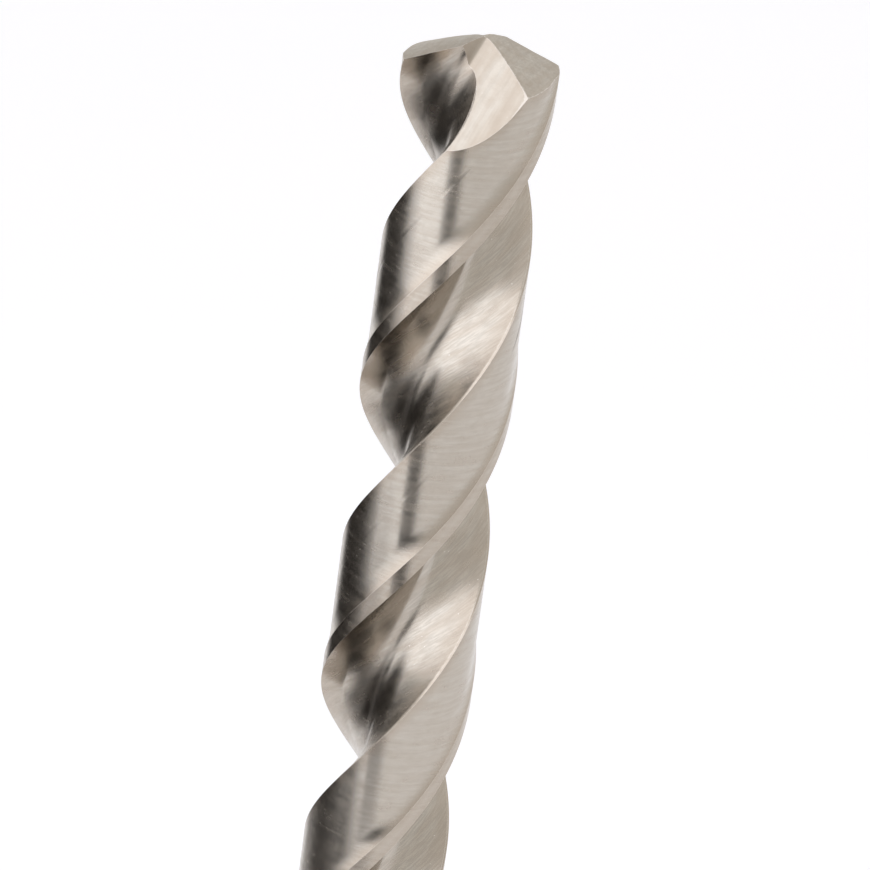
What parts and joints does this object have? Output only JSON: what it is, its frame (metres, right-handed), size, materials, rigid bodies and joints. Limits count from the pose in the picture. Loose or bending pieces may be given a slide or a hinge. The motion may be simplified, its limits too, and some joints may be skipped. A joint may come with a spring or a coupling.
{
  "type": "twist drill bit",
  "caption": "Straight-shank twist drill with helical flutes, raised margins and a split point, for drilling holes in metal.",
  "frame": {"origin": "centre of the flat shank end, on which the drill stands", "axes": "+Z along the drill's axis from the shank to the point; +X roughly towards the first lip's outer corner"},
  "size_m": [0.013, 0.013, 0.151],
  "materials": {
    "ground_steel": "bright ground high speed steel, with fine grinding lines"
  },
  "bodies": {
    "root": {"drill_bit": "ground_steel"}
  },
  "joints": []
}
